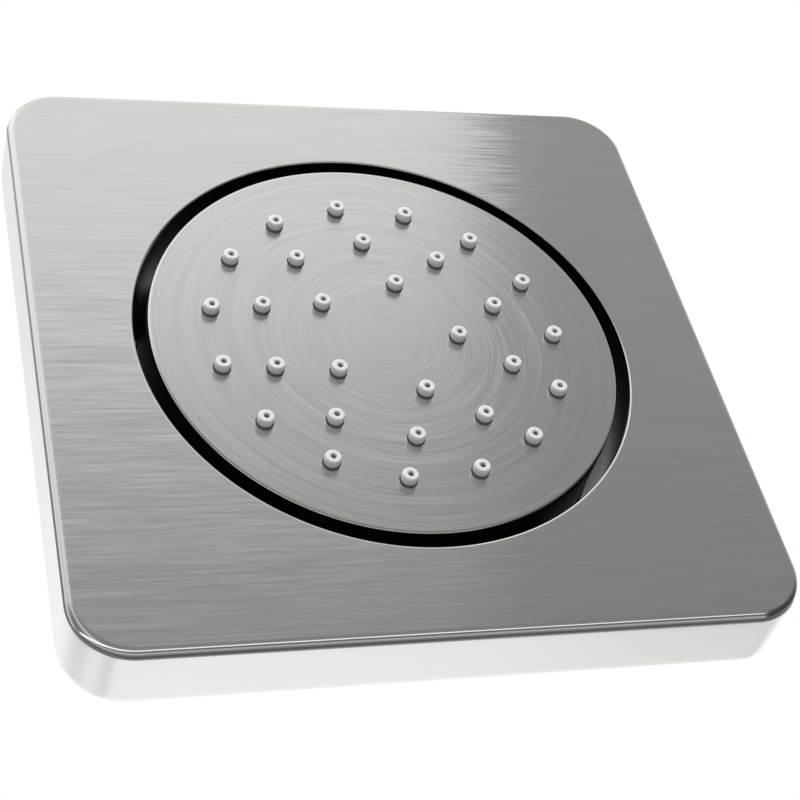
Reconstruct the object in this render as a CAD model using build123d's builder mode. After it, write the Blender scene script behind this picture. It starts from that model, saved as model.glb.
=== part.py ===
from build123d import *
from math import acos, atan2, cos, degrees, radians, sin, sqrt
import os

# Square shower body jet with a round tilting spray head.
# Frame: X right, Z up, Y into the wall. The wall plane is Y = 0 and the jet's axis is the Y axis.
# Every depth below is measured from the front face of the trim plate towards the wall, in millimetres.

# Trim plate: a deep-drawn square of stainless sheet
trim_side = 120.0
trim_depth = 12.3
trim_corner = 10.0
trim_sheet = 1.0
trim_bend = 0.5
opening_radius = 43.6
opening_edge = 0.4
trim_stud_radius = 2.0
trim_stud_length = 8.0
trim_stud_inset = 9.0

# Spray head, from its steel face backwards
head_gap = 2.6
face_sheet = 0.8
face_edge = 0.35
shadow_gap = 0.5
mat_thick = 1.5
backing_thick = 2.0
chamber_depth = 2.2
shell_floor = 2.5
shell_step = 0.2
shell_wall = 1.2
shell_depth = 16.0
shell_bead = 0.3
shell_bead_width = 0.8
face_stud_count = 6
face_stud_radius = 1.25
face_stud_inset = 4.1
face_nut_flats = 5.0
face_nut_thick = 2.0
face_stud_tail = 0.6
rib_thick = 1.6
rib_height = 4.0
seal_section = 0.8
seal_inset = 2.9
land_margin = 0.8

# Nozzles: three rings of soft nozzles, each ring as far inside the one before it
outer_ring_inset = 10.4
middle_ring_step = 8.5
inner_ring_step = 9.35
outer_count = 15
middle_count = 10
inner_count = 5
nozzle_proud = 1.75
nozzle_base = 1.5
nozzle_tip = 1.45
nozzle_chamfer = 0.2
nozzle_bore = 0.55
nozzle_throat = 0.95
nozzle_lip = 1.0
mat_margin = 3.6

# Ball joint: the ball is fixed, and the head's socket turns on it
# The ball seal's two ends are angles from the spray axis, in degrees, and so is the tilt
ball_radius = 8.0
ball_front_gap = 1.7
neck_radius = 4.5
stem_bore = 3.0
stem_key_flats = 6.6
stem_key_depth = 4.0
tilt_each_way = 10.0
ball_seal_thick = 1.5
ball_seal_front = 52.0
ball_seal_rear = 72.0
seat_front = 0.6
seat_rear = 5.0
seat_wall = 1.7
seat_throat = 6.9
boss_rear = 2.5
boss_wall = 1.8
socket_nut_wall = 1.7
socket_nut_lip = 1.5
socket_nut_throat = 7.2
socket_nut_chamfer = 0.8

# Carrier: the black moulding that joins the trim plate to the inlet body
sleeve_wall = 2.0
flange_thick = 2.0
flange_rib = 2.0
gasket_thick = 3.0
gasket_width = 6.0
web_thick = 1.8
web_offset = 16.0
spoke_width = 12.0
spoke_turn = 45.0
floor_thick = 2.5
hub_radius = 20.0
trim_nut_flats = 7.0
trim_nut_thick = 3.2

# Inlet body and what clamps the carrier to it
swing_clearance = 0.7
spigot_radius = 12.0
spigot_lead = 0.2
lock_nut_flats = 32.0
lock_nut_thick = 3.0
slip_washer_thick = 0.8
hub_washer_thick = 1.3
washer_width = 7.0
body_flange_radius = 20.0
body_flange_thick = 3.0
body_hex_flats = 27.0
inlet_radius = 9.3
inlet_length = 12.2
shoulder_radius = 7.0
shoulder_thick = 2.0
shank_radius = 6.0
shank_thread = 5.0
stem_end_gap = 0.6
stem_ring_section = 0.75
regulator_radius = 7.4
regulator_length = 4.3
regulator_wall = 1.8
regulator_floor = 1.5
regulator_post = 2.6
regulator_ports = 6
regulator_port = 0.75
flow_ring_section = 1.1
strainer_step = 0.5
strainer_thick = 1.2
strainer_screen = 0.8
strainer_rim = 1.6
strainer_hole = 0.7
strainer_pitch = 2.85
strainer_rings = 2
hex_chamfer = 0.8
stud_chamfer = 0.3

# Clearances
press_clear = 0.05
slide_clear = 0.1
loose_clear = 0.2
drop_in_clear = 0.3
ball_clear = 0.1

# Radii that follow from the driving sizes
trim_half = trim_side / 2
trim_edge = trim_bend + trim_sheet
disc_radius = opening_radius - head_gap
shell_radius = disc_radius + shell_step
shell_bore = shell_radius - shell_wall
outer_ring = disc_radius - outer_ring_inset
middle_ring = outer_ring - middle_ring_step
inner_ring = middle_ring - inner_ring_step
mat_radius = outer_ring + mat_margin
face_stud_circle = disc_radius - face_stud_inset
seal_circle = face_stud_circle - seal_inset
seal_groove = seal_section + slide_clear
land_radius = seal_circle - seal_groove - land_margin
sleeve_inner = opening_radius + slide_clear
sleeve_outer = sleeve_inner + sleeve_wall
flange_side = trim_side - 2 * (trim_sheet + drop_in_clear)
flange_corner = trim_corner - trim_sheet - drop_in_clear
trim_stud_place = 2 * (trim_half - trim_stud_inset)
socket_sphere = ball_radius + ball_clear
seal_sphere = socket_sphere + ball_seal_thick
pocket_sphere = seal_sphere + slide_clear
seat_radius = socket_sphere + seat_wall
boss_bore = seat_radius + slide_clear
boss_radius = boss_bore + boss_wall
socket_nut_bore = boss_radius + slide_clear
socket_nut_half = socket_nut_bore + socket_nut_wall
socket_nut_corner = socket_nut_half / cos(radians(30))
hub_bore = spigot_radius + loose_clear
washer_outer = hub_bore + washer_width
counterbore_radius = shoulder_radius + loose_clear + drop_in_clear
stem_ring_circle = counterbore_radius - stem_ring_section - press_clear
stem_waist = stem_ring_circle - stem_ring_section - press_clear
regulator_bore = regulator_radius + slide_clear
strainer_pocket = inlet_radius - strainer_step
strainer_radius = strainer_pocket - slide_clear

# Depths that follow from the driving sizes
mat_back = face_sheet + mat_thick
backing_back = mat_back + backing_thick
floor_front = backing_back + chamber_depth
floor_back = floor_front + shell_floor
shell_front = face_sheet + shadow_gap
ball_depth = backing_back + ball_front_gap + ball_radius
boss_back = ball_depth + boss_rear
seat_front_depth = ball_depth + seat_front
seat_back_depth = ball_depth + seat_rear
socket_nut_front = floor_back + loose_clear
socket_nut_seat = seat_back_depth + press_clear
socket_nut_back = socket_nut_seat + socket_nut_lip
both_tilts = acos(cos(radians(tilt_each_way)) ** 2)
socket_nut_reach = socket_nut_back - ball_depth
nut_swing = ball_depth + socket_nut_reach * cos(both_tilts) + socket_nut_corner * sin(both_tilts)
lock_nut_front = nut_swing + swing_clearance
slip_front = lock_nut_front + lock_nut_thick
hub_front = slip_front + slip_washer_thick
hub_back = hub_front + floor_thick
body_flange_front = hub_back + hub_washer_thick
body_flange_back = body_flange_front + body_flange_thick
spigot_front = lock_nut_front - spigot_lead
shoulder_front = spigot_front + spigot_lead
shoulder_back = shoulder_front + shoulder_thick
counterbore_back = shoulder_back + 2 * (stem_ring_section + press_clear)
shank_back = counterbore_back + shank_thread
regulator_front = shank_back + stem_end_gap
regulator_back = regulator_front + regulator_length
strainer_front = regulator_back + loose_clear
strainer_back = strainer_front + strainer_thick
body_back = strainer_back + inlet_length
flange_back = trim_sheet + flange_thick
rib_back = trim_depth - gasket_thick

# Half sections are drawn on this plane: its x is the radius and its y is the depth
section = Plane(origin=(0, -trim_depth, 0), x_dir=(1, 0, 0), z_dir=(0, 0, 1))


def at_depth(depth):
    """Plane that faces the viewer at a depth: extruding by a minus amount goes deeper."""
    return Plane.XZ.offset(trim_depth - depth)


def band(inner, outer, front, back, mode=Mode.ADD):
    """Rectangle of a half section, between two radii and two depths."""
    with Locations(((inner + outer) / 2, (front + back) / 2)):
        Rectangle(outer - inner, back - front, mode=mode)


def hexagon(flats):
    """Hexagon by its width across flats, with a flat at the top."""
    RegularPolygon(radius=flats / 2, side_count=6, major_radius=False, rotation=30)


def nozzle_places():
    """Every nozzle's place across the face, ring by ring."""
    rings = (
        (outer_ring, outer_count, 0),
        (middle_ring, middle_count, 180 / middle_count),
        (inner_ring, inner_count, 0),
    )
    places = []
    for radius, count, first in rings:
        places += [place.position for place in PolarLocations(radius, count, first)]
    return places


nozzles = nozzle_places()

# Trim plate: one drawn sheet with a turned-back skirt and a punched opening
with BuildPart() as trim_plate:
    with BuildSketch(at_depth(trim_depth)):
        RectangleRounded(trim_side, trim_side, trim_corner)
    extrude(amount=trim_depth)
    fillet(trim_plate.faces().sort_by(Axis.Y)[0].edges(), trim_edge)
    offset(amount=-trim_sheet, openings=trim_plate.faces().sort_by(Axis.Y)[-1])
    with BuildSketch(at_depth(0)):
        Circle(opening_radius)
    extrude(amount=-trim_sheet, mode=Mode.SUBTRACT)
    opening_edges = trim_plate.edges().filter_by(GeomType.CIRCLE).sort_by(SortBy.RADIUS)[-2:]
    fillet(opening_edges.sort_by(Axis.Y)[0], opening_edge)

# Four weld studs on the back of the sheet, with a nut on each
with BuildPart() as trim_studs:
    with BuildSketch(at_depth(trim_sheet)):
        with GridLocations(trim_stud_place, trim_stud_place, 2, 2):
            Circle(trim_stud_radius)
    extrude(amount=-trim_stud_length)
    chamfer(trim_studs.faces().group_by(Axis.Y)[-1].edges(), stud_chamfer)

with BuildPart() as trim_nuts:
    with BuildSketch(at_depth(flange_back)):
        with GridLocations(trim_stud_place, trim_stud_place, 2, 2):
            hexagon(trim_nut_flats)
            Circle(trim_stud_radius + press_clear, mode=Mode.SUBTRACT)
    extrude(amount=-trim_nut_thick)

# Carrier: sleeve round the head, tray flange behind the sheet, and a spoked floor with the hub
with BuildPart() as carrier:
    with BuildSketch(at_depth(trim_sheet)):
        RectangleRounded(flange_side, flange_side, flange_corner)
        Circle(sleeve_inner, mode=Mode.SUBTRACT)
        with GridLocations(trim_stud_place, trim_stud_place, 2, 2):
            Circle(trim_stud_radius + loose_clear, mode=Mode.SUBTRACT)
    extrude(amount=-flange_thick)
    chamfer(carrier.faces().sort_by(Axis.Y)[0].outer_wire().edges(), trim_bend)
    with BuildSketch(at_depth(flange_back)):
        RectangleRounded(flange_side, flange_side, flange_corner)
        inner_side = flange_side - 2 * flange_rib
        RectangleRounded(inner_side, inner_side, flange_corner - flange_rib, mode=Mode.SUBTRACT)
    extrude(amount=flange_back - rib_back)
    with BuildSketch(section):
        band(sleeve_inner, sleeve_outer, flange_back, hub_back)
    revolve(axis=Axis.Y)
    web_inner = sqrt((sleeve_inner + sleeve_wall / 2) ** 2 - web_offset ** 2)
    web_outer = (flange_side - flange_rib) / 2
    web_middle = (web_inner + web_outer) / 2
    with BuildSketch(at_depth(flange_back)):
        with PolarLocations(0, 4):
            with Locations((web_middle, web_offset), (web_middle, -web_offset)):
                Rectangle(web_outer - web_inner, web_thick)
    extrude(amount=flange_back - rib_back)
    with BuildSketch(at_depth(hub_front)):
        Rectangle(2 * sleeve_outer, spoke_width, rotation=spoke_turn)
        Rectangle(spoke_width, 2 * sleeve_outer, rotation=spoke_turn)
        Circle(hub_radius)
        Circle(sleeve_outer, mode=Mode.INTERSECT)
        Circle(hub_bore, mode=Mode.SUBTRACT)
    extrude(amount=-floor_thick)

# Foam gasket on the carrier's rib, flush with the skirt at the wall
with BuildPart() as wall_gasket:
    with BuildSketch(at_depth(rib_back)):
        RectangleRounded(flange_side, flange_side, flange_corner)
        gasket_inner = flange_side - 2 * gasket_width
        RectangleRounded(gasket_inner, gasket_inner, flange_corner - gasket_width, mode=Mode.SUBTRACT)
    extrude(amount=-gasket_thick)

# Inlet body: front spigot, clamping flange, spanner hexagon and the female inlet thread
with BuildPart() as inlet_body:
    with BuildSketch(section):
        band(0, spigot_radius, spigot_front, body_flange_front)
        band(0, body_flange_radius, body_flange_front, body_flange_back)
    revolve(axis=Axis.Y)
    with BuildSketch(at_depth(body_flange_back)):
        hexagon(body_hex_flats)
    extrude(amount=body_flange_back - body_back)
    chamfer(inlet_body.faces().sort_by(Axis.Y)[-1].edges(), hex_chamfer)
    with BuildSketch(section):
        band(0, counterbore_radius, spigot_front, counterbore_back)
        band(0, shank_radius + press_clear, counterbore_back, regulator_front)
        band(0, regulator_bore, regulator_front, strainer_front)
        band(0, strainer_pocket, strainer_front, strainer_back)
        band(0, inlet_radius, strainer_back, body_back)
    revolve(axis=Axis.Y, mode=Mode.SUBTRACT)

# Thin nut, slip washer and rubber washer that clamp the carrier's hub
with BuildPart() as lock_nut:
    with BuildSketch(at_depth(lock_nut_front)):
        hexagon(lock_nut_flats)
    extrude(amount=-lock_nut_thick)
    chamfer(lock_nut.faces().sort_by(Axis.Y)[0].edges(), hex_chamfer)
    with BuildSketch(section):
        band(0, spigot_radius + slide_clear, lock_nut_front, slip_front)
    revolve(axis=Axis.Y, mode=Mode.SUBTRACT)

with BuildPart() as slip_washer:
    with BuildSketch(section):
        band(hub_bore, washer_outer, slip_front, hub_front)
    revolve(axis=Axis.Y)

with BuildPart() as hub_washer:
    with BuildSketch(section):
        band(hub_bore, washer_outer, hub_back, body_flange_front)
    revolve(axis=Axis.Y)

# Ball stem: ball, neck, shoulder, sealed waist and threaded shank on one turned bar, bored through
with BuildPart() as ball_stem:
    with BuildSketch(section):
        with Locations((0, ball_depth)):
            Circle(ball_radius)
        band(0, neck_radius, ball_depth, shoulder_front)
        band(0, shoulder_radius, shoulder_front, shoulder_back)
        band(0, stem_waist, shoulder_back, counterbore_back)
        band(0, shank_radius, counterbore_back, shank_back)
        band(-ball_radius, stem_bore, ball_depth - ball_radius, shank_back, mode=Mode.SUBTRACT)
    revolve(axis=Axis.Y)
    with BuildSketch(at_depth(ball_depth - ball_radius)):
        hexagon(stem_key_flats)
    extrude(amount=-stem_key_depth, mode=Mode.SUBTRACT)

with BuildPart() as stem_o_ring:
    with BuildSketch(section):
        with Locations((stem_ring_circle, (shoulder_back + counterbore_back) / 2)):
            Circle(stem_ring_section)
    revolve(axis=Axis.Y)

# Flow regulator: a cage with a centre post, and the soft ring that narrows as pressure rises
with BuildPart() as flow_regulator:
    cage_bore = regulator_radius - regulator_wall
    cage_floor_back = regulator_front + regulator_floor
    with BuildSketch(section):
        band(cage_bore, regulator_radius, regulator_front, regulator_back)
        band(0, cage_bore, regulator_front, cage_floor_back)
        band(0, regulator_post, cage_floor_back, regulator_back)
    revolve(axis=Axis.Y)
    with BuildSketch(at_depth(regulator_front)):
        with PolarLocations((cage_bore + regulator_post) / 2, regulator_ports):
            Circle(regulator_port)
    extrude(amount=-regulator_floor, mode=Mode.SUBTRACT)

with BuildPart() as flow_ring:
    with BuildSketch(section):
        ring_circle = regulator_post + flow_ring_section + press_clear
        with Locations((ring_circle, cage_floor_back + flow_ring_section + press_clear)):
            Circle(flow_ring_section)
    revolve(axis=Axis.Y)

# Inlet strainer: a thin drilled screen in a thicker rim
with BuildPart() as inlet_strainer:
    screen_radius = strainer_radius - strainer_rim
    with BuildSketch(section):
        band(screen_radius, strainer_radius, strainer_front, strainer_back)
        band(0, screen_radius, strainer_front, strainer_front + strainer_screen)
    revolve(axis=Axis.Y)
    with BuildSketch(at_depth(strainer_front)):
        Circle(strainer_hole)
        for ring in range(1, strainer_rings + 1):
            with PolarLocations(ring * strainer_pitch, 6 * ring):
                Circle(strainer_hole)
    extrude(amount=-strainer_screen, mode=Mode.SUBTRACT)

# Ball seal: a soft zone of a sphere in front of the ball's middle
with BuildPart() as ball_seal:
    with BuildSketch(section):
        with BuildLine():
            seal_turn = ball_seal_rear - ball_seal_front
            inner_arc = CenterArc((0, ball_depth), socket_sphere, ball_seal_front - 90, seal_turn)
            outer_arc = CenterArc((0, ball_depth), seal_sphere, ball_seal_front - 90, seal_turn)
            Line(inner_arc @ 0, outer_arc @ 0)
            Line(inner_arc @ 1, outer_arc @ 1)
        make_face()
    revolve(axis=Axis.Y)

# Seat ring: the hard-wearing ring that carries the head behind the ball's middle
with BuildPart() as seat_ring:
    with BuildSketch(section):
        band(seat_throat, seat_radius, seat_front_depth, seat_back_depth)
        with Locations((0, ball_depth)):
            Circle(socket_sphere, mode=Mode.SUBTRACT)
    revolve(axis=Axis.Y)

# Socket nut: holds the seat ring in the back shell's boss
with BuildPart() as socket_nut:
    with BuildSketch(at_depth(socket_nut_front)):
        hexagon(2 * socket_nut_half)
    extrude(amount=socket_nut_front - socket_nut_back)
    chamfer(socket_nut.faces().sort_by(Axis.Y)[-1].edges(), socket_nut_chamfer)
    with BuildSketch(section):
        band(0, socket_nut_bore, socket_nut_front, socket_nut_seat)
        band(0, socket_nut_throat, socket_nut_seat, socket_nut_back)
    revolve(axis=Axis.Y, mode=Mode.SUBTRACT)

# Back shell: beaded rim, chamber land with the seal's groove, floor, ball pocket, boss and ribs
with BuildPart() as back_shell:
    with BuildSketch(section):
        band(shell_bore, shell_radius, shell_front, shell_depth)
        band(shell_radius, shell_radius + shell_bead, shell_depth - shell_bead_width, shell_depth)
        band(0, shell_bore, floor_front, floor_back)
        band(land_radius, shell_bore, backing_back, floor_front)
        band(0, boss_radius, floor_back, boss_back)
        groove_inner = seal_circle - seal_groove
        groove_outer = seal_circle + seal_groove
        groove_back = backing_back + 2 * (seal_section + press_clear)
        band(groove_inner, groove_outer, backing_back, groove_back, mode=Mode.SUBTRACT)
        with Locations((0, ball_depth)):
            Circle(pocket_sphere, mode=Mode.SUBTRACT)
        band(0, boss_bore, seat_front_depth - slide_clear, boss_back, mode=Mode.SUBTRACT)
    revolve(axis=Axis.Y)
    rib_inner = socket_nut_corner + drop_in_clear
    rib_outer = shell_bore + shell_wall / 2
    with BuildSketch(at_depth(floor_back)):
        with PolarLocations((rib_inner + rib_outer) / 2, face_stud_count, 180 / face_stud_count):
            Rectangle(rib_outer - rib_inner, rib_thick)
    extrude(amount=-rib_height)
    with BuildSketch(at_depth(backing_back)):
        with PolarLocations(face_stud_circle, face_stud_count):
            Circle(face_stud_radius + loose_clear)
    extrude(amount=backing_back - floor_back, mode=Mode.SUBTRACT)

with BuildPart() as chamber_seal:
    with BuildSketch(section):
        with Locations((seal_circle, backing_back + seal_section + press_clear)):
            Circle(seal_section)
    revolve(axis=Axis.Y)

# Backing plate: feeds each nozzle and holds the soft mat in a recess behind the face
with BuildPart() as backing_plate:
    with BuildSketch(section):
        band(0, shell_bore - slide_clear, face_sheet, backing_back)
        band(0, mat_radius + slide_clear, face_sheet, mat_back, mode=Mode.SUBTRACT)
    revolve(axis=Axis.Y)
    with BuildSketch(at_depth(face_sheet)):
        with Locations(*nozzles):
            Circle(nozzle_throat)
        with PolarLocations(face_stud_circle, face_stud_count):
            Circle(face_stud_radius + loose_clear)
    extrude(amount=face_sheet - backing_back, mode=Mode.SUBTRACT)

# Nozzle mat: one soft moulding, a disc with a nozzle through every hole of the face
with BuildPart() as nozzle_mat:
    with BuildSketch(at_depth(face_sheet)):
        Circle(mat_radius)
    extrude(amount=-mat_thick)
    nozzle_side = face_sheet + nozzle_proud - nozzle_chamfer
    with BuildSketch(at_depth(face_sheet)):
        with Locations(*nozzles):
            Circle(nozzle_base)
    extrude(amount=nozzle_side, taper=degrees(atan2(nozzle_base - nozzle_tip, nozzle_side)))
    with BuildSketch(at_depth(nozzle_chamfer - nozzle_proud)):
        with Locations(*nozzles):
            Circle(nozzle_tip)
    extrude(amount=nozzle_chamfer, taper=45)
    with BuildSketch(at_depth(-nozzle_proud)):
        with Locations(*nozzles):
            Circle(nozzle_bore)
    extrude(amount=-nozzle_lip, mode=Mode.SUBTRACT)
    with BuildSketch(at_depth(nozzle_lip - nozzle_proud)):
        with Locations(*nozzles):
            Circle(nozzle_throat)
    extrude(amount=nozzle_lip - nozzle_proud - mat_back, mode=Mode.SUBTRACT)

# Spray face: a flat steel disc, drilled for the nozzles
with BuildPart() as spray_face:
    with BuildSketch(at_depth(0)):
        Circle(disc_radius)
    extrude(amount=-face_sheet)
    fillet(spray_face.edges().sort_by(Axis.Y)[0], face_edge)
    with BuildSketch(at_depth(0)):
        with Locations(*nozzles):
            Circle(nozzle_base + slide_clear)
    extrude(amount=-face_sheet, mode=Mode.SUBTRACT)

# Six weld studs on the back of the disc, with the nuts that clamp the head together
with BuildPart() as face_studs:
    with BuildSketch(at_depth(face_sheet)):
        with PolarLocations(face_stud_circle, face_stud_count):
            Circle(face_stud_radius)
    extrude(amount=face_sheet - floor_back - face_nut_thick - face_stud_tail)
    chamfer(face_studs.faces().group_by(Axis.Y)[-1].edges(), stud_chamfer)

with BuildPart() as face_nuts:
    with BuildSketch(at_depth(floor_back)):
        with PolarLocations(face_stud_circle, face_stud_count):
            hexagon(face_nut_flats)
            Circle(face_stud_radius + press_clear, mode=Mode.SUBTRACT)
    extrude(amount=-face_nut_thick)

pieces = {
    "trim_plate": trim_plate,
    "carrier": carrier,
    "trim_studs": trim_studs,
    "trim_nuts": trim_nuts,
    "wall_gasket": wall_gasket,
    "inlet_body": inlet_body,
    "lock_nut": lock_nut,
    "slip_washer": slip_washer,
    "hub_washer": hub_washer,
    "ball_stem": ball_stem,
    "stem_o_ring": stem_o_ring,
    "flow_regulator": flow_regulator,
    "flow_ring": flow_ring,
    "inlet_strainer": inlet_strainer,
    "ball_seal": ball_seal,
    "seat_ring": seat_ring,
    "socket_nut": socket_nut,
    "back_shell": back_shell,
    "chamber_seal": chamber_seal,
    "backing_plate": backing_plate,
    "nozzle_mat": nozzle_mat,
    "spray_face": spray_face,
    "face_studs": face_studs,
    "face_nuts": face_nuts,
}

os.makedirs("parts", exist_ok=True)
for name, piece in pieces.items():
    piece.part.label = name
    export_step(piece.part, "parts/" + name + ".step")

print("ball centre at depth", round(ball_depth, 3), "both tilts", round(degrees(both_tilts), 2), "degrees")
print("inlet mouth at depth", round(body_back, 3), "sleeve end at depth", round(hub_back, 3))
rim_reach = sqrt(disc_radius ** 2 + ball_depth ** 2)
print("rim reach", round(rim_reach, 2), "of opening", opening_radius)
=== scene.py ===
# %% [markdown]
# # A shower body jet, dressed for its portrait
# The object is a square plate of brushed stainless steel with a round spray head that tilts on a ball
# joint. The frame brings every solid in at its real size and place, so this lesson only adds looks:
# fine surfaces for the pieces that the light falls on, a finish for every piece, and a small studio.

# %% Load the frame
import math

import bmesh
import bpy
import numpy as np
from mathutils import Matrix, Vector


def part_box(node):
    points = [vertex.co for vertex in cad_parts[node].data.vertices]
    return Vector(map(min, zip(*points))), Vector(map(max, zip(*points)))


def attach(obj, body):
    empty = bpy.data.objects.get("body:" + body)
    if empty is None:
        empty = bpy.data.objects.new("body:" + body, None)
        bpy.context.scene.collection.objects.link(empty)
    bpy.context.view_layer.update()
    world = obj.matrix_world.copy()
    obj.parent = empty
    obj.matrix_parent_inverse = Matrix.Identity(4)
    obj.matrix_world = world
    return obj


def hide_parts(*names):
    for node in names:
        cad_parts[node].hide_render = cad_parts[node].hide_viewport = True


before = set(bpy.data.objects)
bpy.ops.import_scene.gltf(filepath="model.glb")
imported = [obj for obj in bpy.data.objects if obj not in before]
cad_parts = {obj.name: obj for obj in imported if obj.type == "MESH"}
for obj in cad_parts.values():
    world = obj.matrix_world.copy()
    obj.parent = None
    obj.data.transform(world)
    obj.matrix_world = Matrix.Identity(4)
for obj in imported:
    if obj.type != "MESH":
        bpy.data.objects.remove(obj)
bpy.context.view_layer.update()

# %% [markdown]
# ## Sizes that come from the frame
# A learner could type the sizes again, but then two files would have to agree. Here the boxes of the
# solids give them. Lengths are in millimetres, and depth counts from the plate's face to the wall.

# %% Read the main sizes
MM = 0.001


def span(node):
    """Lowest and highest corner of a node in millimetres, with depth in place of Y."""
    low, high = (np.array(corner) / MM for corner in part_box(node))
    return low + (0, plate_depth, 0), high + (0, plate_depth, 0)


plate_depth = -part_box("trim_plate")[0].y / MM
plate_half = span("trim_plate")[1][0]
face_radius = span("spray_face")[1][0]
face_sheet = span("spray_face")[1][1]
mat_low, mat_high = span("nozzle_mat")
mat_radius = mat_high[0]
mat_back = mat_high[1]
nozzle_proud = -mat_low[1]
main_sizes = np.round([plate_half, plate_depth, face_radius], 2)
print("plate half, plate depth and face radius in mm:", main_sizes)

# %% [markdown]
# ## From arrays to a piece
# Each shape below is a grid of points worked out as one array. A patch is such a grid with its own UV
# values in millimetres, which run along and across the brushing on the plate's face and skirt, so a finish
# can follow the surface. Patches are joined into one mesh, points that fall together are welded, and quads
# that shrank at a pole become triangles.

# %% Helpers that make meshes from grids


def place(x, depth, z):
    """Points in metres in the part's frame, from x, depth and z in millimetres."""
    return np.stack(np.broadcast_arrays(x, np.asarray(depth) - plate_depth, z), axis=-1) * MM


def patch(points, u, v, polish_or_painted_shade=0.0):
    """A grid of points with their UV, and how polished they are from 0 to 1, or on the nozzle mat their
    painted shade.
    """
    rows, columns = points.shape[:2]
    index = np.arange(rows * columns).reshape(rows, columns)
    corners = (index[:-1, :-1], index[:-1, 1:], index[1:, 1:], index[1:, :-1])
    quads = np.stack(corners, axis=-1).reshape(-1, 4)
    spread = [np.broadcast_to(value, (rows, columns)).reshape(-1) for value in (u, v, polish_or_painted_shade)]
    return points.reshape(-1, 3), quads, np.stack(spread, axis=-1)


def welded(points, quads):
    """Quads over points that are merged where they lie within a ten-thousandth of a millimetre."""
    keys = np.round(points / (1e-4 * MM)).astype(np.int64)
    _, first, merged = np.unique(keys, axis=0, return_index=True, return_inverse=True)
    return points[first], merged.reshape(-1)[quads]


def build_piece(name, patches, sharp_degrees=40):
    """One closed mesh object from patches, with UV map "brush" and a corner attribute for how polished
    each corner is, or on the nozzle mat for painted shade.
    """
    starts = np.cumsum([0] + [len(p[0]) for p in patches[:-1]])
    points = np.concatenate([p[0] for p in patches])
    quads = np.concatenate([p[1] + start for p, start in zip(patches, starts)])
    values = np.concatenate([p[2] for p in patches])
    merged_points, merged = welded(points, quads)
    distinct = merged != np.roll(merged, -1, axis=1)
    whole = distinct.all(axis=1)
    shrunk = distinct.sum(axis=1) == 3
    triangles = merged[shrunk][distinct[shrunk]].reshape(-1, 3)
    loops = np.concatenate([quads[whole].reshape(-1), quads[shrunk][distinct[shrunk]]])
    mesh = bpy.data.meshes.new(name)
    mesh.from_pydata(merged_points.tolist(), [], merged[whole].tolist() + triangles.tolist())
    mesh.uv_layers.new(name="brush").data.foreach_set("uv", values[loops, :2].reshape(-1))
    mesh.attributes.new("polish_or_painted_shade", "FLOAT", "CORNER").data.foreach_set("value", values[loops, 2].copy())
    shell = bmesh.new()
    shell.from_mesh(mesh)
    bmesh.ops.recalc_face_normals(shell, faces=shell.faces)
    open_edges = sum(not edge.is_manifold for edge in shell.edges)
    shell.to_mesh(mesh)
    shell.free()
    mesh.shade_smooth()
    mesh.set_sharp_from_angle(angle=math.radians(sharp_degrees))
    piece = bpy.data.objects.new(name, mesh)
    bpy.context.scene.collection.objects.link(piece)
    print(name, len(mesh.polygons), "faces,", open_edges, "open edges")
    return piece


def quarter_turn(steps):
    """Cosines and sines of a quarter circle in equal steps."""
    angle = np.radians(np.linspace(0, 90, steps + 1))
    return np.cos(angle), np.sin(angle)


# %% [markdown]
# ## The trim plate
# The real plate is one sheet, deep drawn: a flat face, a tight polished bend and a skirt that stands on
# the wall. Every outline of it is the same inner square pushed outwards, so a point is a place on that
# square plus a distance along its normal. A box with bevels would have the same outline, but here the
# section of the sheet is carried round that path, so the brushing can follow the skirt. Over the face the
# outline runs into the circle of the opening, whose lip the abrasive has worn wide and shallow.

# %% Outline of the plate
corner_radius = 10.0
skirt_bend = 1.5
plate_sheet = 1.0
opening_radius = 43.6
lip_width = 0.36
lip_drop = 0.14
side_steps = 60
corner_steps = 36
core_half = plate_half - corner_radius


def square_path():
    """Once round the inner square: places on it, outward normals, and the length along the outline."""
    turn = np.radians(np.linspace(0, 90, corner_steps + 1))
    run = np.linspace(-core_half, core_half, side_steps + 1)
    place_x = np.concatenate([np.full(side_steps, core_half), np.full(corner_steps, core_half)])
    place_z = np.concatenate([run[:-1], np.full(corner_steps, core_half)])
    normal_x = np.concatenate([np.ones(side_steps), np.cos(turn[:-1])])
    normal_z = np.concatenate([np.zeros(side_steps), np.sin(turn[:-1])])
    quarters = np.arange(4)[:, None] * math.pi / 2
    turned = []
    for a, b in ((place_x, place_z), (normal_x, normal_z)):
        turned.append((np.cos(quarters) * a - np.sin(quarters) * b).reshape(-1))
        turned.append((np.sin(quarters) * a + np.cos(quarters) * b).reshape(-1))
    closed = [np.append(values, values[0]) for values in turned]
    steps = np.hypot(*(np.diff(closed[i] + corner_radius * closed[i + 2]) for i in (0, 1)))
    return (*closed, np.append(0, np.cumsum(steps)))


path_x, path_z, path_nx, path_nz, path_length = square_path()
path_angle = np.arctan2(path_z + corner_radius * path_nz, path_x + corner_radius * path_nx)


def outline(distance):
    """Outline at each distance outwards from the inner square, as rows of x and of z."""
    out = np.atleast_1d(distance)[:, None]
    return path_x + out * path_nx, path_z + out * path_nz


def across_face(share, outer, inner):
    """Rows from the outline at distance outer (share 0) to the circle of radius inner (share 1)."""
    share = np.asarray(share)[:, None]
    out_x, out_z = outline(outer)
    x = (1 - share) * out_x + share * inner * np.cos(path_angle)
    z = (1 - share) * out_z + share * inner * np.sin(path_angle)
    return x, z


print("way round the plate in mm:", round(path_length[-1], 1))

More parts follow.
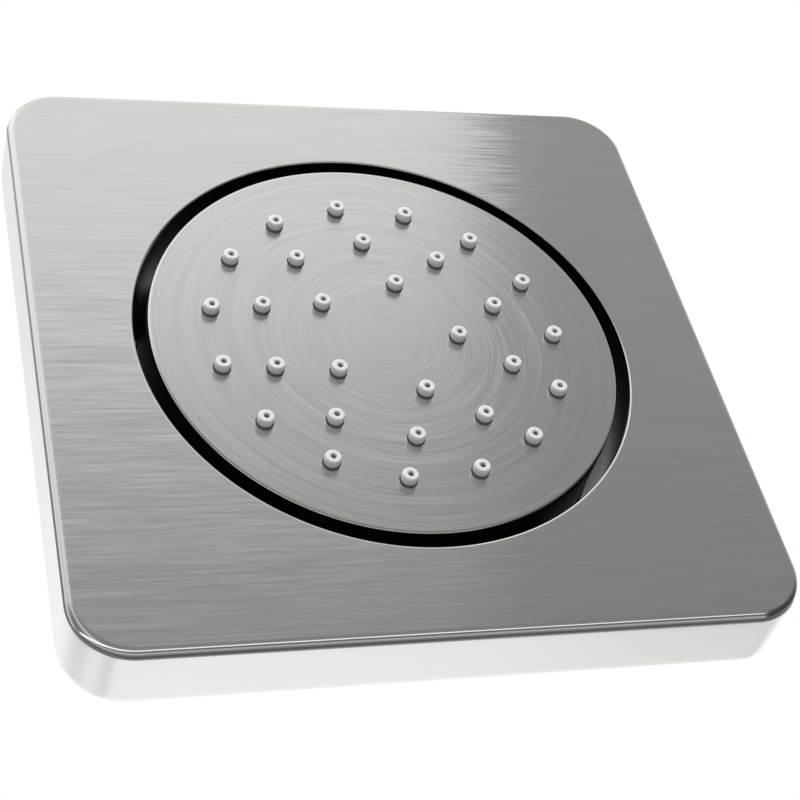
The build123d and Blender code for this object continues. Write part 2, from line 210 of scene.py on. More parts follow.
# %% Carry the sheet's section round the plate
face_share = np.array([0, 0.003, 0.03, 0.25, 0.5, 0.75, 0.97, 0.997, 1])
bend_steps = 18
bend_cos, bend_sin = quarter_turn(bend_steps)
polish_start = 15
polish_ramp = 8
bend_degrees = np.linspace(0, 90, bend_steps + 1)
bend_polish = np.clip((bend_degrees - polish_start) / polish_ramp, 0, 1)
inner_bend = skirt_bend - plate_sheet
edge_round = 0.15
round_cos, round_sin = quarter_turn(4)
skirt_outer = corner_radius
skirt_inner = corner_radius - plate_sheet
skirt_share = np.array([0, 0.1, 0.5, 0.9, 1])


def plate_patches():
    """Face, bend and skirt outside, then the same sheet inside, as patches of one closed shell."""
    face_x, face_z = across_face(face_share, skirt_outer - skirt_bend, opening_radius + lip_width)
    yield patch(place(face_x, 0, face_z), face_x, face_z)
    bend_out = skirt_outer - skirt_bend + skirt_bend * bend_sin
    bend_depth = skirt_bend * (1 - bend_cos)
    x, z = outline(bend_out)
    yield patch(place(x, bend_depth[:, None], z), x, z, bend_polish[:, None])
    tail_out = skirt_outer - edge_round * (1 - round_cos)
    tail_depth = plate_depth - edge_round * (1 - round_sin)
    skirt_out = np.concatenate([np.full(len(skirt_share), skirt_outer), tail_out, [skirt_inner]])
    skirt_run = skirt_share * (tail_depth[0] - skirt_bend) + skirt_bend
    skirt_depth = np.concatenate([skirt_run, tail_depth, [plate_depth]])
    x, z = outline(skirt_out)
    yield patch(place(x, skirt_depth[:, None], z), path_length, skirt_depth[:, None])
    inside_out = np.concatenate([[skirt_inner], skirt_inner - inner_bend * (1 - bend_cos)])
    inside_depth = np.concatenate([[plate_depth], plate_sheet + inner_bend * (1 - bend_sin)])
    x, z = outline(inside_out)
    yield patch(place(x, inside_depth[:, None], z), path_length, inside_depth[:, None])
    back_x, back_z = across_face(face_share, skirt_inner - inner_bend, opening_radius)
    yield patch(place(back_x, plate_sheet, back_z), back_x, back_z)
    lip_radius = np.append(opening_radius + lip_width * (1 - bend_sin), opening_radius)[:, None]
    lip_depth = np.append(lip_drop * (1 - bend_cos), plate_sheet)[:, None]
    lip = place(lip_radius * np.cos(path_angle), lip_depth, lip_radius * np.sin(path_angle))
    yield patch(lip, opening_radius * path_angle, lip_depth, 1.0)


trim_plate = build_piece("brushed_trim_plate", list(plate_patches()))
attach(trim_plate, "base")
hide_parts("trim_plate")

# %% [markdown]
# ## Discs with rings of holes
# The spray face and the nozzle mat are discs with the same thirty places. A disc is cut into rings, and
# a ring into tiles, one for each place. A tile is a grid that runs from its own edge to the circle in its
# middle, so a hole or a nozzle is only a different section at the inner end of the grid. Holes cut by a
# boolean would leave long thin triangles that show in polished metal.

# %% Tiles round each nozzle
circle_steps = 360
tile_side_steps = 8
tile_half = 3.0
nozzle_rings = ((30.6, 15, 0.0), (22.1, 10, 18.0), (12.75, 5, 0.0))


def tile_edge(ring_radius, count):
    """Once round a tile, in millimetres outward and sideways from its nozzle: an outer arc about the disc's
    axis, a radius inwards, an inner arc back and a radius outwards."""
    half_turn = math.pi / count
    arc = np.linspace(-half_turn, half_turn, circle_steps // count + 1)
    side = np.linspace(-tile_half, tile_half, tile_side_steps + 1)
    radius = np.concatenate([
        np.full(len(arc) - 1, ring_radius + tile_half),
        ring_radius - side[:-1],
        np.full(len(arc) - 1, ring_radius - tile_half),
        ring_radius + side,
    ])
    angle = np.concatenate([
        arc[:-1],
        np.full(tile_side_steps, half_turn),
        -arc[:-1],
        np.full(tile_side_steps + 1, -half_turn),
    ])
    return radius * np.cos(angle) - ring_radius, radius * np.sin(angle)


def tile_patches(section):
    """Tiles of all rings. Section rows are (radius of the middle circle, share of the way to the tile's
    edge, depth, how polished the row is or, on the nozzle mat, its painted shade), and a point lies that
    share of the way from the circle to the edge."""
    reach, share, depth, polish_or_painted_shade = (np.array(column)[:, None] for column in zip(*section))
    for ring_radius, count, first in nozzle_rings:
        edge_out, edge_side = tile_edge(ring_radius, count)
        around = np.arctan2(edge_side, edge_out)
        out = (1 - share) * reach * np.cos(around) + share * edge_out + ring_radius
        side = (1 - share) * reach * np.sin(around) + share * edge_side
        for turn in np.radians(first) + np.arange(count) * 2 * math.pi / count:
            x = out * math.cos(turn) - side * math.sin(turn)
            z = out * math.sin(turn) + side * math.cos(turn)
            yield patch(place(x, depth, z), x, z, polish_or_painted_shade)


def ring_patch(radii, depths, polish_or_painted_shade=0.0):
    """A turned band: each row is a full circle with its own radius and depth."""
    angle = np.linspace(-math.pi, math.pi, circle_steps + 1)
    radius = np.atleast_1d(radii)[:, None]
    depth = np.broadcast_to(depths, len(radius))[:, None]
    x, z = radius * np.cos(angle), radius * np.sin(angle)
    return patch(place(x, depth, z), x, z, np.broadcast_to(polish_or_painted_shade, len(radius))[:, None])


def plain_bands(outer, depth):
    """The flat rings between and inside the rings of tiles, at one depth."""
    limits = [outer]
    for ring_radius, _, _ in nozzle_rings:
        limits += [ring_radius + tile_half, ring_radius - tile_half]
    limits.append(0.0)
    for start, stop in zip(limits[::2], limits[1::2]):
        yield ring_patch(np.linspace(start, stop, 5), depth)


print("places for nozzles:", sum(count for _, count, _ in nozzle_rings))

# %% [markdown]
# ## The spray face
# A flat disc of the same steel, spun against the abrasive so that its brushing runs in circles. Its rim
# and the edge of each hole are broken with a small round, which is where metal glints. A bevel modifier
# could round them, but then the rim and the holes couldn't each have their own polish.

# %% Spray face
rim_width = 0.42
rim_drop = 0.13
rim_polish = 0.6
hole_radius = 1.5
hole_round = 0.06
rim_flat = 0.02
tile_shares = (1.0, 0.5, 0.1, 0.01)


def spray_face_patches():
    """Front tiles, hole edges and walls, back tiles, the plain rings and the rounded rim."""
    section = [(hole_radius + hole_round, share, 0.0, 0.0) for share in tile_shares]
    for cos, sin in zip(*quarter_turn(5)):
        section.append((hole_radius + hole_round * (1 - sin), 0.0, hole_round * (1 - cos), 1.0))
    section += [(hole_radius, share, face_sheet, 0.0) for share in (0.0, 0.5, 1.0)]
    yield from tile_patches(section)
    rim_cos, rim_sin = quarter_turn(8)
    rim_radius = face_radius - rim_width
    rim_start = rim_radius - rim_flat
    yield from plain_bands(rim_start, 0.0)
    rim_radii = np.concatenate([[rim_start], rim_radius + rim_width * rim_sin, [face_radius]])
    rim_depths = np.concatenate([[0.0], rim_drop * (1 - rim_cos), [face_sheet]])
    yield ring_patch(rim_radii, rim_depths, rim_polish)
    yield from plain_bands(face_radius, face_sheet)


spray_face = build_piece("brushed_spray_face", list(spray_face_patches()))
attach(spray_face, "head")
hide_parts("spray_face")

# %% [markdown]
# ## The nozzle mat
# All nozzles are one soft moulding that shows through the holes. Its section climbs the nozzle, turns
# over the rounded tip, drops down the jet and opens into the wider throat behind it. Thirty copies of one
# nozzle would look the same, but the real mat is one piece, and so is this mesh.

# %% Nozzle mat
nozzle_base = 1.4
nozzle_tip = 1.34
tip_round = 0.22
jet_radius = 0.5
jet_round = 0.06
jet_length = 1.0
throat_radius = 0.95
root_round = 0.1
# Painted shade by depth down each nozzle's side, at its mouth and down its jet, where little light reaches.
side_shade = ((0.02, 1.0), (-0.3, 0.9), (-0.55, 0.35), (-1.2, 0.2))
mouth_shade = 0.1
jet_shade = 0.8


def nozzle_mat_patches():
    """Tiles whose section is the whole nozzle, and the plain rings and rim of the mat. Where the steel is
    told how polished it is, the tiles carry painted shade, from 1 in the gap round the root, and nearly that
    down the jet, to 0 at the tip."""
    section = [(nozzle_base + root_round, share, face_sheet, 1.0) for share in (1.0, 0.1)]
    for cos, sin in zip(*quarter_turn(3)):
        root_depth = face_sheet - root_round * (1 - cos)
        section.append((nozzle_base + root_round * (1 - sin), 0.0, root_depth, 1.0))
    section += [(nozzle_base, 0.0, depth, shade) for depth, shade in side_shade]
    for cos, sin in zip(*quarter_turn(4)):
        tip_depth = tip_round * (1 - sin) - nozzle_proud
        section.append((nozzle_tip - tip_round * (1 - cos), 0.0, tip_depth, 0.0))
    for cos, sin in zip(*quarter_turn(3)):
        mouth_depth = jet_round * (1 - cos) - nozzle_proud
        section.append((jet_radius + jet_round * (1 - sin), 0.0, mouth_depth, mouth_shade))
    jet_end = jet_length - nozzle_proud
    section += [(radius, 0.0, jet_end, jet_shade) for radius in (jet_radius, throat_radius)]
    section += [(throat_radius, share, mat_back, 1.0) for share in (0.0, 1.0)]
    yield from tile_patches(section)
    yield from plain_bands(mat_radius, face_sheet)
    yield ring_patch([mat_radius, mat_radius], [face_sheet, mat_back])
    yield from plain_bands(mat_radius, mat_back)


nozzle_mat = build_piece("silicone_nozzle_mat", list(nozzle_mat_patches()))
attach(nozzle_mat, "head")
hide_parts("nozzle_mat")

# %% [markdown]
# ## Brushed steel
# Brushing leaves scratches that all run one way. Seen from a step away they do two things: they stretch
# reflections across the scratches, and they leave streaks, where the metal is tilted a little and so
# mirrors another part of the room. The shader's anisotropy does the first. A group of stretched noise does
# the second, so streaks show where the reflection changes and fade where it is even, as on real steel. An
# image of scratches would blur from near by and would have to be cut to fit the circles of the disc. On the
# disc only the streaks run in circles. Its reflections stretch one way, up and down, because the smears
# under the nozzles do so in the photograph.

# %% Helpers that make node trees


def new_group(name, inputs, outputs):
    """An empty shader node group with named float or vector sockets."""
    group = bpy.data.node_groups.new(name, "ShaderNodeTree")
    for label, kind in inputs:
        group.interface.new_socket(label, in_out="INPUT", socket_type=kind)
    for label, kind in outputs:
        group.interface.new_socket(label, in_out="OUTPUT", socket_type=kind)
    return group, group.nodes.new("NodeGroupInput"), group.nodes.new("NodeGroupOutput")


def add_node(tree, kind, settings=(), **inputs):
    """A node with its settings made and its sockets set to values or linked to other sockets. A socket goes
    by its name, with _ for a space, or by its number after an i."""
    node = tree.nodes.new(kind)
    for key, value in dict(settings).items():
        setattr(node, key, value)
    for label, value in inputs.items():
        numbered = label[1:].isdigit()
        socket = node.inputs[int(label[1:]) if numbered else label.replace("_", " ")]
        if isinstance(value, bpy.types.NodeSocket):
            tree.links.new(value, socket)
        else:
            socket.default_value = value
    return node


def math_node(tree, operation, first, second=0.0):
    """The result of one sum on two values or sockets."""
    return add_node(tree, "ShaderNodeMath", {"operation": operation}, i0=first, i1=second).outputs[0]


def vector_node(tree, operation, first, second=(0, 0, 0), scale=1.0):
    """The result of one vector sum, with a scale where the operation has one."""
    settings = {"operation": operation}
    return add_node(tree, "ShaderNodeVectorMath", settings, i0=first, i1=second, i3=scale).outputs[0]


def eased(tree, value, start, stop):
    """A smooth step from 0 to 1 between two values."""
    return add_node(tree, "ShaderNodeMapRange", {"interpolation_type": "SMOOTHSTEP"},
                    Value=value, From_Min=start, From_Max=stop).outputs[0]


# %% Streaks shared by both steels
streak_sizes = {"Fine": 1.0, "Broad": 0.35}


def brush_streaks():
    """Noise drawn out along the brushing, fine and broad together and centred on nothing: X is for the
    tone, Y for a tilt across the brushing and Z for a tilt along it."""
    sockets = [("Vector", "NodeSocketVector"), ("Fine", "NodeSocketFloat"), ("Broad", "NodeSocketFloat")]
    group, start, end = new_group("brush_streaks", sockets, [("Streaks", "NodeSocketVector")])
    total = (0, 0, 0)
    for label, size in streak_sizes.items():
        grain = vector_node(group, "SCALE", start.outputs["Vector"], scale=size)
        noise = add_node(group, "ShaderNodeTexNoise", Vector=grain, Scale=1.0, Detail=3.0)
        centred = vector_node(group, "SUBTRACT", noise.outputs["Color"], (0.5, 0.5, 0.5))
        streak = vector_node(group, "SCALE", centred, scale=start.outputs[label])
        total = vector_node(group, "ADD", streak, total)
    group.links.new(total, end.inputs["Streaks"])
    return group


streaks = brush_streaks()
print("streaks:", [item.name for item in streaks.interface.items_tree])

# %% A steel whose tone and tilt follow the streaks
polished_rough = 0.1
quarter_rotation = 0.25
along_plate = (1, 0, 0)


def steel_material(name, color, brushing, settings):
    """Anisotropic metal: its tone is the colour x (1 + tone x streak X), and its normal is the surface's own
    + across x streak Y, on the way across, + along x streak Z, along the plate. Polish takes streaks away."""
    material = bpy.data.materials.new(name)
    material.use_nodes = True
    tree = material.node_tree
    shader = tree.nodes["Principled BSDF"]
    shader.inputs["Metallic"].default_value = 1.0
    shader.inputs["Anisotropic Rotation"].default_value = quarter_rotation
    tangent = add_node(tree, "ShaderNodeTangent", {"direction_type": "UV_MAP", "uv_map": "brush"})
    tree.links.new(tangent.outputs[0], shader.inputs["Tangent"])
    spot, across, strength = brushing(tree)
    grain = tree.nodes.new("ShaderNodeGroup")
    grain.node_tree = streaks
    tree.links.new(spot, grain.inputs["Vector"])
    grain.inputs["Fine"].default_value = settings["fine"]
    grain.inputs["Broad"].default_value = settings["broad"]
    polish_or_painted_shade = add_node(tree, "ShaderNodeAttribute", {"attribute_name": "polish_or_painted_shade"}).outputs["Fac"]
    brushed = math_node(tree, "SUBTRACT", 1.0, polish_or_painted_shade)
    stretch = math_node(tree, "MULTIPLY", brushed, settings["anisotropy"])
    tree.links.new(stretch, shader.inputs["Anisotropic"])
    visible = math_node(tree, "MULTIPLY", brushed, strength)
    kept = vector_node(tree, "SCALE", grain.outputs["Streaks"], scale=visible)
    parts = add_node(tree, "ShaderNodeSeparateXYZ", i0=kept).outputs
    tone = math_node(tree, "ADD", math_node(tree, "MULTIPLY", parts["X"], settings["tone"]), 1.0)
    tree.links.new(vector_node(tree, "SCALE", color, scale=tone), shader.inputs["Base Color"])
    rough = math_node(tree, "MULTIPLY", brushed, settings["rough"] - polished_rough)
    tree.links.new(math_node(tree, "ADD", rough, polished_rough), shader.inputs["Roughness"])
    slope = math_node(tree, "MULTIPLY", parts["Y"], settings["across"])
    lean = math_node(tree, "MULTIPLY", parts["Z"], settings["along"])
    sloped = vector_node(tree, "SCALE", across, scale=slope)
    leaning = vector_node(tree, "SCALE", along_plate, scale=lean)
    normal = add_node(tree, "ShaderNodeNewGeometry").outputs["Normal"]
    tilted = vector_node(tree, "ADD", normal, vector_node(tree, "ADD", sloped, leaning))
    tree.links.new(vector_node(tree, "NORMALIZE", tilted), shader.inputs["Normal"])
    return material


# %% Where the brushing runs
faintest = 0.35
straight_grain = (0.09, 3.2, 1.0)
ring_grain = 2.4
arc_grain = 1.6
full_brushing_radius = 24.0


def not_too_faint(tree, share):
    """A strength from the faintest to 1, by a share from 0 to 1."""
    return math_node(tree, "ADD", math_node(tree, "MULTIPLY", share, 1 - faintest), faintest)


def straight_brushing(tree):
    """Coordinates with long steps along the plate's brushing and short steps across; the way across; and
    the streaks' strength, which is less on the skirt than on the face."""
    uv = add_node(tree, "ShaderNodeUVMap", {"uv_map": "brush"}).outputs[0]
    normal = add_node(tree, "ShaderNodeNewGeometry").outputs["Normal"]
    forward = math_node(tree, "ABSOLUTE", add_node(tree, "ShaderNodeSeparateXYZ", i0=normal).outputs["Y"])
    steps = add_node(tree, "ShaderNodeMapping", Vector=uv, Scale=straight_grain).outputs[0]
    return steps, (0, 1, 1), not_too_faint(tree, forward)


def spun_brushing(tree):
    """Direction from the axis and distance from it, so that circles close without a seam; the way out; and
    the streaks' strength, which fades near the axis, where the disc turned slowly under the abrasive."""
    spot = add_node(tree, "ShaderNodeTexCoord").outputs["Object"]
    flat = vector_node(tree, "MULTIPLY", spot, (1, 0, 1))
    heading = vector_node(tree, "NORMALIZE", flat)
    distance = add_node(tree, "ShaderNodeVectorMath", {"operation": "LENGTH"}, i0=flat).outputs["Value"]
    ring = math_node(tree, "MULTIPLY", distance, ring_grain / MM)
    arc = vector_node(tree, "SCALE", heading, scale=arc_grain)
    steps = vector_node(tree, "ADD", arc, add_node(tree, "ShaderNodeCombineXYZ", Y=ring).outputs[0])
    outer = eased(tree, distance, 0.0, full_brushing_radius * MM)
    return steps, heading, not_too_faint(tree, outer)


# %% The two steels
steel_color = (0.80, 0.793, 0.78)
trim_steel = steel_material("trim_steel", steel_color, straight_brushing, {
    "anisotropy": 0.92, "rough": 0.19, "fine": 0.7, "broad": 0.22,
    "tone": 0.04, "across": 0.15, "along": 0.1})
face_steel = steel_material("face_steel", steel_color, spun_brushing, {
    "anisotropy": 0.71, "rough": 0.226, "fine": 0.6, "broad": 0.4,
    "tone": 0.36, "across": 0.13, "along": 0.0})
trim_plate.data.materials.append(trim_steel)
spray_face.data.materials.append(face_steel)
print("steel finishes:", trim_steel.name, face_steel.name)

# %% [markdown]
# ## Silicone, mouldings, rubber, brass and plated steel
# The other finishes are simpler, but none of them is one flat colour. A shared group gives each a fine
# grain for its bump and a slow mottle for its tone, in the object's own coordinates. Each finish could have
# noise of its own, but one group keeps them alike and is changed in one place.

# %% Grain shared by the other finishes
mottle_coarser = 18.0
rough_spread = 0.3
grain_relief = 0.05


def moulded_grain():
    """Fine noise for the bump and slow noise for the tone, both centred on nothing."""
    sockets = [("Size", "NodeSocketFloat")]
    results = [("Grain", "NodeSocketFloat"), ("Mottle", "NodeSocketFloat")]
    group, start, end = new_group("moulded_grain", sockets, results)
    spot = add_node(group, "ShaderNodeTexCoord").outputs["Object"]
    count = math_node(group, "DIVIDE", 1.0, start.outputs["Size"])
    fine = add_node(group, "ShaderNodeTexNoise", Vector=spot, Scale=count, Detail=3.0)
    slow_count = math_node(group, "DIVIDE", count, mottle_coarser)
    slow = add_node(group, "ShaderNodeTexNoise", Vector=spot, Scale=slow_count)
    group.links.new(math_node(group, "SUBTRACT", fine.outputs[0], 0.5), end.inputs["Grain"])
    group.links.new(math_node(group, "SUBTRACT", slow.outputs[0], 0.5), end.inputs["Mottle"])
    return group


grain_group = moulded_grain()


def plain_material(name, color, rough, size, mottle=0.2, bump=0.1, **sockets):
    """A finish of one colour with a mottled tone, uneven roughness and a fine bumpy grain."""
    material = bpy.data.materials.new(name)
    material.use_nodes = True
    tree = material.node_tree
    shader = tree.nodes["Principled BSDF"]
    for label, value in sockets.items():
        shader.inputs[label.replace("_", " ")].default_value = value
    grain = tree.nodes.new("ShaderNodeGroup")
    grain.node_tree = grain_group
    grain.inputs["Size"].default_value = size * MM
    tone = math_node(tree, "ADD", math_node(tree, "MULTIPLY", grain.outputs["Mottle"], mottle), 1.0)
    tree.links.new(vector_node(tree, "SCALE", color, scale=tone), shader.inputs["Base Color"])
    uneven = math_node(tree, "MULTIPLY", grain.outputs["Mottle"], rough_spread * rough)
    tree.links.new(math_node(tree, "ADD", uneven, rough), shader.inputs["Roughness"])
    relief = add_node(tree, "ShaderNodeBump", Strength=bump, Distance=grain_relief * MM)
    tree.links.new(grain.outputs["Grain"], relief.inputs["Height"])
    tree.links.new(relief.outputs[0], shader.inputs["Normal"])
    return material


print("grain:", [item.name for item in grain_group.interface.items_tree])

# %% [markdown]
# ## White nozzles and the black drum
# Little light reaches the roots of the nozzles and their jets. The mesh says where that is, and the colour
# is darkened there as painted shade, without an image. The drum behind the face is black, with a highlight
# painted on the bead round its rear end as a pale colour. A second mesh could be the bead, but one drum is
# enough, with a colour that goes by the distance from the axis and by the depth.

# %% Painted shade and a painted highlight on the bead
deep_shade = 0.85
bead_radius = 41.28
bead_depth = 15.6
# Colour of the highlight painted on the bead, where light would catch the drum's rear edge.
bead_highlight_color = (0.5, 0.5, 0.5, 1)
black = (0.005, 0.005, 0.005)


def darken_by_shade(material, share):
    """Painted shade: takes a share of the colour away where the mesh attribute says little light comes in."""
    tree = material.node_tree
    shader = tree.nodes["Principled BSDF"]
    shade = add_node(tree, "ShaderNodeAttribute", {"attribute_name": "polish_or_painted_shade"}).outputs["Fac"]
    left = math_node(tree, "SUBTRACT", 1.0, math_node(tree, "MULTIPLY", shade, share))
    lit = shader.inputs["Base Color"].links[0].from_socket
    tree.links.new(vector_node(tree, "SCALE", lit, scale=left), shader.inputs["Base Color"])


def paint_bead_highlight(material, radius, depth, color):
    """Painted highlight: gives what lies outside a radius and behind a depth a colour of its own."""
    tree = material.node_tree
    shader = tree.nodes["Principled BSDF"]
    spot = add_node(tree, "ShaderNodeTexCoord").outputs["Object"]
    flat = vector_node(tree, "MULTIPLY", spot, (1, 0, 1))
    reach = add_node(tree, "ShaderNodeVectorMath", {"operation": "LENGTH"}, i0=flat).outputs["Value"]
    y = add_node(tree, "ShaderNodeSeparateXYZ", i0=spot).outputs["Y"]
    outside = math_node(tree, "GREATER_THAN", reach, radius * MM)
    behind = math_node(tree, "GREATER_THAN", y, (depth - plate_depth) * MM)
    plain = shader.inputs["Base Color"].links[0].from_socket
    share = math_node(tree, "MULTIPLY", outside, behind)
    mix = add_node(tree, "ShaderNodeMix", {"data_type": "RGBA"}, i0=share, i6=plain, i7=color)
    tree.links.new(mix.outputs[2], shader.inputs["Base Color"])


nozzle_silicone = plain_material("nozzle_silicone", (0.88, 0.88, 0.87), 0.42, 0.25, mottle=0.05, bump=0.08)
# Painted shade at the roots of the nozzles and down their jets darkens the white silicone.
darken_by_shade(nozzle_silicone, deep_shade)
nozzle_mat.data.materials.append(nozzle_silicone)
black_gloss = plain_material("black_gloss", black, 0.35, 0.3, bump=0.06, Specular_IOR_Level=0.04)
black_shell = plain_material("black_shell", black, 0.3, 0.3, bump=0.06, Specular_IOR_Level=0.15)
# A painted highlight: the bead at the drum's rear edge gets a pale colour where light would catch it.
paint_bead_highlight(black_shell, bead_radius, bead_depth, bead_highlight_color)
black_satin = plain_material("black_satin", (0.02, 0.02, 0.02), 0.4, 0.3, bump=0.12)
print("finishes in view:", nozzle_silicone.name, black_gloss.name, black_shell.name)

# %% [markdown]
# ## A finish for every other solid
# Most of the pieces inside are never seen, but a part in a library is taken apart. Each has the finish of
# what it is made of, and pieces of one material share it.

# %% Finishes of the solids
finishes = {
    "carrier": black_gloss,
    "back_shell": black_shell,
    "backing_plate": black_satin,
    "ball_seal": plain_material("seal_rubber", (0.03, 0.03, 0.03), 0.6, 0.2),
    "wall_gasket": plain_material("gasket_foam", (0.05, 0.05, 0.05), 0.85, 0.6, mottle=0.4, bump=0.6),
    "seat_ring": plain_material("seat_plastic", (0.85, 0.85, 0.82), 0.4, 0.3, mottle=0.06),
    "flow_regulator": plain_material("regulator_plastic", (0.75, 0.77, 0.74), 0.4, 0.3, mottle=0.06),
    "inlet_strainer": plain_material("strainer_steel", (0.6, 0.6, 0.6), 0.35, 0.3, Metallic=1.0),
    "inlet_body": plain_material("turned_brass", (0.72, 0.52, 0.24), 0.28, 0.4, Metallic=1.0),
    "ball_stem": plain_material("plated_ball", (0.8, 0.8, 0.8), 0.08, 0.4,
                                mottle=0.05, bump=0.02, Metallic=1.0),
    "trim_nuts": plain_material("plated_steel", (0.55, 0.55, 0.55), 0.3, 0.3, Metallic=1.0),
}
shared_with = {
    "chamber_seal": "ball_seal", "stem_o_ring": "ball_seal",
    "flow_ring": "ball_seal", "hub_washer": "ball_seal",
    "slip_washer": "seat_ring", "lock_nut": "inlet_body", "socket_nut": "inlet_body",
    "trim_studs": "trim_nuts", "face_studs": "trim_nuts", "face_nuts": "trim_nuts",
}
for node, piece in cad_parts.items():
    finish = finishes.get(shared_with.get(node, node))
    if finish:
        piece.data.materials.clear()
        piece.data.materials.append(finish)
print("finished solids:", len(finishes) + len(shared_with))

# %% [markdown]
# ## A small studio
# The jet hangs on a wall and is seen from below, so the floor lies out of the picture. It is plain, and
# reflections pass it by, so that the light of the room stays in one place, the world.

# %% Floor
floor_drop = 0.6
floor_half = 3.0


def make_floor():
    """A square of four corners at the floor's height, grey and plain."""
    side = np.array([(-1, -1), (1, -1), (1, 1), (-1, 1)]) * floor_half
    corners = np.column_stack([side, np.full(4, -floor_drop)])
    mesh = bpy.data.meshes.new("studio_floor")
    mesh.from_pydata(corners.tolist(), [], [(0, 1, 2, 3)])
    floor = bpy.data.objects.new("studio_floor", mesh)
    bpy.context.scene.collection.objects.link(floor)
    floor.data.materials.append(plain_material("floor_paint", (0.4, 0.4, 0.4), 0.8, 20.0, mottle=0.02))
    floor.visible_glossy = False
    return floor


studio_floor = make_floor()
print("floor below the part in m:", floor_drop)

# %% [markdown]
# ## The light of the room
# Metal shows what stands round it: the dim room in front, brighter overhead, a window and a column of light
# on the left, a dark corner low on the right and a white backdrop behind. Panels could stand for them, but a
# world that goes by direction alone needs no objects and never falls into the picture.

# %% Room light
room_bands = ((-180, 1.0), (-150, 0.9), (-134, 0.5), (-118, 0.26), (-103, 0.12), (-89, 0.1), (-75, 0.19),
              (-62, 0.36), (-48, 0.5), (-37, 0.14), (-10, 0.22), (6, 0.22), (25, 0.2), (35, 0.265),
              (45, 0.33), (55, 0.4), (85, 0.5), (100, 1.06), (125, 1.25), (180, 1.25))
backdrop_bands = ((-0.42, 1.18), (-0.3, 0.92), (-0.15, 1.18), (0.33, 1.18), (0.5, 1.03), (0.65, 0.8),
                  (0.8, 1.06))
room_tint = (1.01, 1.0, 0.965)
backdrop_tint = (1.0, 1.0, 0.995)
white = (1, 1, 1, 1)
corner_light = (0.06, 0.06, 0.06, 1)
column_light = (0.55, 0.55, 0.54, 1)
window_light = (1.1, 1.1, 1.09, 1)
low_wall_light = (0.2, 0.2, 0.2, 1)
high_wall_light = (0.5, 0.5, 0.5, 1)
high_backdrop_light = (1.25, 1.25, 1.25, 1)


def banded(tree, value, reach, bands, tint):
    """Light by a value from -reach to reach, eased from band to band."""
    share = add_node(tree, "ShaderNodeMapRange", Value=value, From_Min=-reach, From_Max=reach)
    node = add_node(tree, "ShaderNodeValToRGB", i0=share.outputs[0])
    ramp = node.color_ramp
    ramp.interpolation = "EASE"
    while len(ramp.elements) < len(bands):
        ramp.elements.new(0.5)
    for element, (level, light) in zip(ramp.elements, bands):
        element.position = (level / reach + 1) / 2
        element.color = (*(light * np.array(tint)), 1)
    return node.outputs[0]


def mixed(tree, share, first, second):
    """A colour between two colours or colour sockets."""
    return add_node(tree, "ShaderNodeMix", {"data_type": "RGBA"}, i0=share, i6=first, i7=second).outputs[2]


def region(tree, *limits):
    """The product of smooth steps, each given as a value with its start and stop."""
    share = 1.0
    for value, start, stop in limits:
        share = math_node(tree, "MULTIPLY", eased(tree, value, start, stop), share)
    return share


def make_room():
    """World light by direction: bands of the room, by degrees above the horizon in front and on over the
    top, with a dark corner low on the right, a column of light and a high window on the left and a dim
    wall behind them; a pale backdrop behind, by X; and plain white to the camera."""
    world = bpy.data.worlds.new("studio_room")
    bpy.context.scene.world = world
    world.use_nodes = True
    tree = world.node_tree
    direction = add_node(tree, "ShaderNodeTexCoord").outputs["Generated"]
    x, y, z = add_node(tree, "ShaderNodeSeparateXYZ", i0=direction).outputs
    left, front, down = (math_node(tree, "MULTIPLY", part, -1.0) for part in (x, y, z))
    height = math_node(tree, "DEGREES", math_node(tree, "ARCTAN2", z, front))
    room = banded(tree, height, 180, room_bands, room_tint)
    corner = region(tree, (x, 0.52, 0.62), (front, 0.1, 0.4), (down, -0.45, -0.15))
    room = mixed(tree, corner, room, corner_light)
    column = region(tree, (left, 0.3, 0.45), (x, -0.75, -0.6), (z, -0.5, -0.35), (front, 0.3, 0.5))
    room = mixed(tree, column, room, column_light)
    window = region(tree, (left, 0.15, 0.4), (z, 0.35, 0.85), (front, -0.2, 0.0))
    room = mixed(tree, window, room, window_light)
    wall_light = mixed(tree, eased(tree, z, 0.52, 0.82), low_wall_light, high_wall_light)
    wall = region(tree, (left, 0.12, 0.35), (y, 0.05, 0.2), (down, -0.92, -0.78))
    room = mixed(tree, wall, room, wall_light)
    low_backdrop = banded(tree, x, 1, backdrop_bands, backdrop_tint)
    backdrop = mixed(tree, eased(tree, z, -0.1, 0.2), low_backdrop, high_backdrop_light)
    room = mixed(tree, region(tree, (y, 0.64, 0.8), (x, -0.72, -0.5)), room, backdrop)
    seen = add_node(tree, "ShaderNodeLightPath").outputs["Is Camera Ray"]
    tree.links.new(mixed(tree, seen, room, white), tree.nodes["Background"].inputs["Color"])
    return world


studio_room = make_room()
print("room light:", len(room_bands), "bands in front and over the top,", len(backdrop_bands), "behind")

# %% [markdown]
# ## The lamps
# A large softbox overhead gives the bright upper left of the plate, with a soft edge to the right, and a
# narrow strip in front draws the line along the lower bend. The other two are kept out of reflections. They
# are there for the white nozzles, which the dim room would leave grey.

# %% Lamps


def aim(item, spot, target):
    """Turns an object at spot so that its -Z axis points at the target."""
    heading = Vector(target) - Vector(spot)
    item.matrix_world = Matrix.Translation(spot) @ heading.to_track_quat("-Z", "Y").to_matrix().to_4x4()


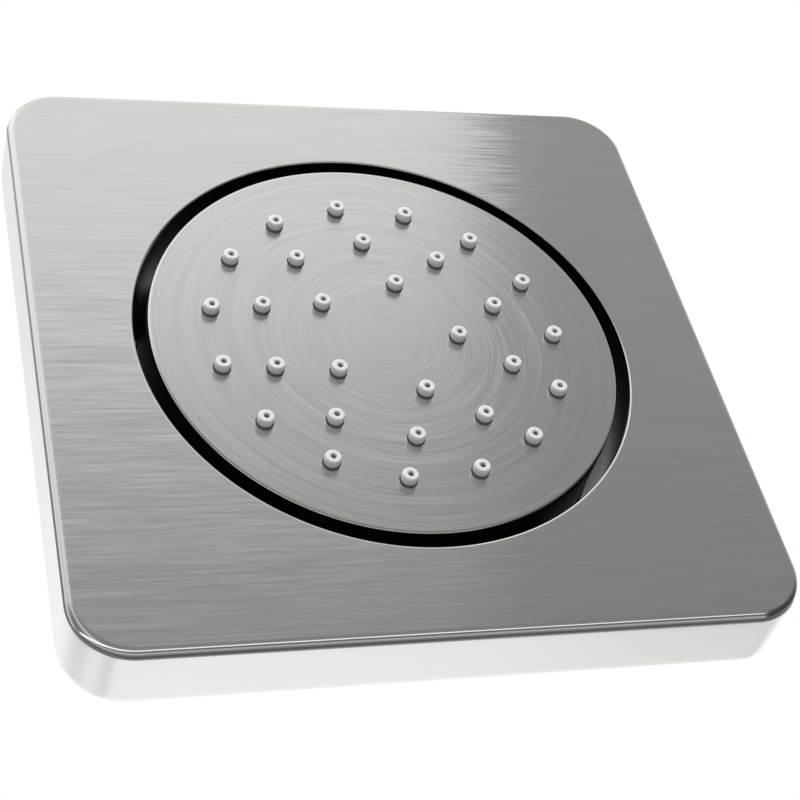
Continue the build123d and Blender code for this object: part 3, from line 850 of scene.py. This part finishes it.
def soft_light(name, azimuth, elevation, distance, width, height, radiance,
               roll=0, glossy=True, diffuse=True):
    """A rectangular lamp by its direction from the plate; its power gives the wanted radiance."""
    lamp = bpy.data.lights.new(name, "AREA")
    lamp.shape = "RECTANGLE"
    lamp.size = width
    lamp.size_y = height
    lamp.energy = radiance * math.pi * width * height
    item = bpy.data.objects.new(name, lamp)
    bpy.context.scene.collection.objects.link(item)
    a, e = math.radians(azimuth), math.radians(elevation)
    spot = distance * np.array([math.sin(a) * math.cos(e), -math.cos(a) * math.cos(e), math.sin(e)])
    aim(item, spot, (0, 0, 0))
    item.matrix_world = item.matrix_world @ Matrix.Rotation(math.radians(roll), 4, "Z")
    item.visible_glossy = glossy
    item.visible_diffuse = diffuse
    item.visible_camera = False
    return item


soft_light("overhead_softbox", azimuth=1.4, elevation=59.7, distance=1.2,
           width=0.884, height=0.954, radiance=0.56, roll=5.7)
soft_light("front_strip", azimuth=-24, elevation=-24, distance=0.9,
           width=2.67, height=0.2, radiance=1.0, diffuse=False)
soft_light("left_window", azimuth=-65, elevation=28, distance=1.5,
           width=1.4, height=1.9, radiance=0.55, glossy=False)
soft_light("nozzle_fill", azimuth=-5, elevation=50, distance=1.0,
           width=0.7, height=0.7, radiance=5.1, glossy=False)

# %% [markdown]
# ## The camera
# The photograph looks up at the plate from below left. Place, turn and lens follow from the plate's four
# corners: they were solved so that a square of the plate's size lands on them.

# %% Camera
camera_spot = (-0.100097, -0.239067, -0.200615)
picture_right = Vector((0.943313, -0.246132, -0.222665))
picture_up = Vector((-0.000838, -0.672634, 0.739974))
picture_size = 800
focal_pixels = 1863.01
centre_pixel = (423.1, 313.5)

lens = bpy.data.cameras.new("photo_camera")
camera = bpy.data.objects.new("photo_camera", lens)
bpy.context.scene.collection.objects.link(camera)
backwards = picture_right.cross(picture_up)
camera.matrix_world = Matrix.Translation(camera_spot) @ Matrix(
    (picture_right, picture_up, backwards)).transposed().to_4x4()
lens.sensor_width = 36.0
lens.lens = lens.sensor_width * focal_pixels / picture_size
lens.shift_x = 0.5 - centre_pixel[0] / picture_size
lens.shift_y = centre_pixel[1] / picture_size - 0.5
lens.clip_start = 0.01
bpy.context.scene.camera = camera
bpy.context.scene.view_settings.view_transform = "Standard"
print("lens in mm:", round(lens.lens, 2))
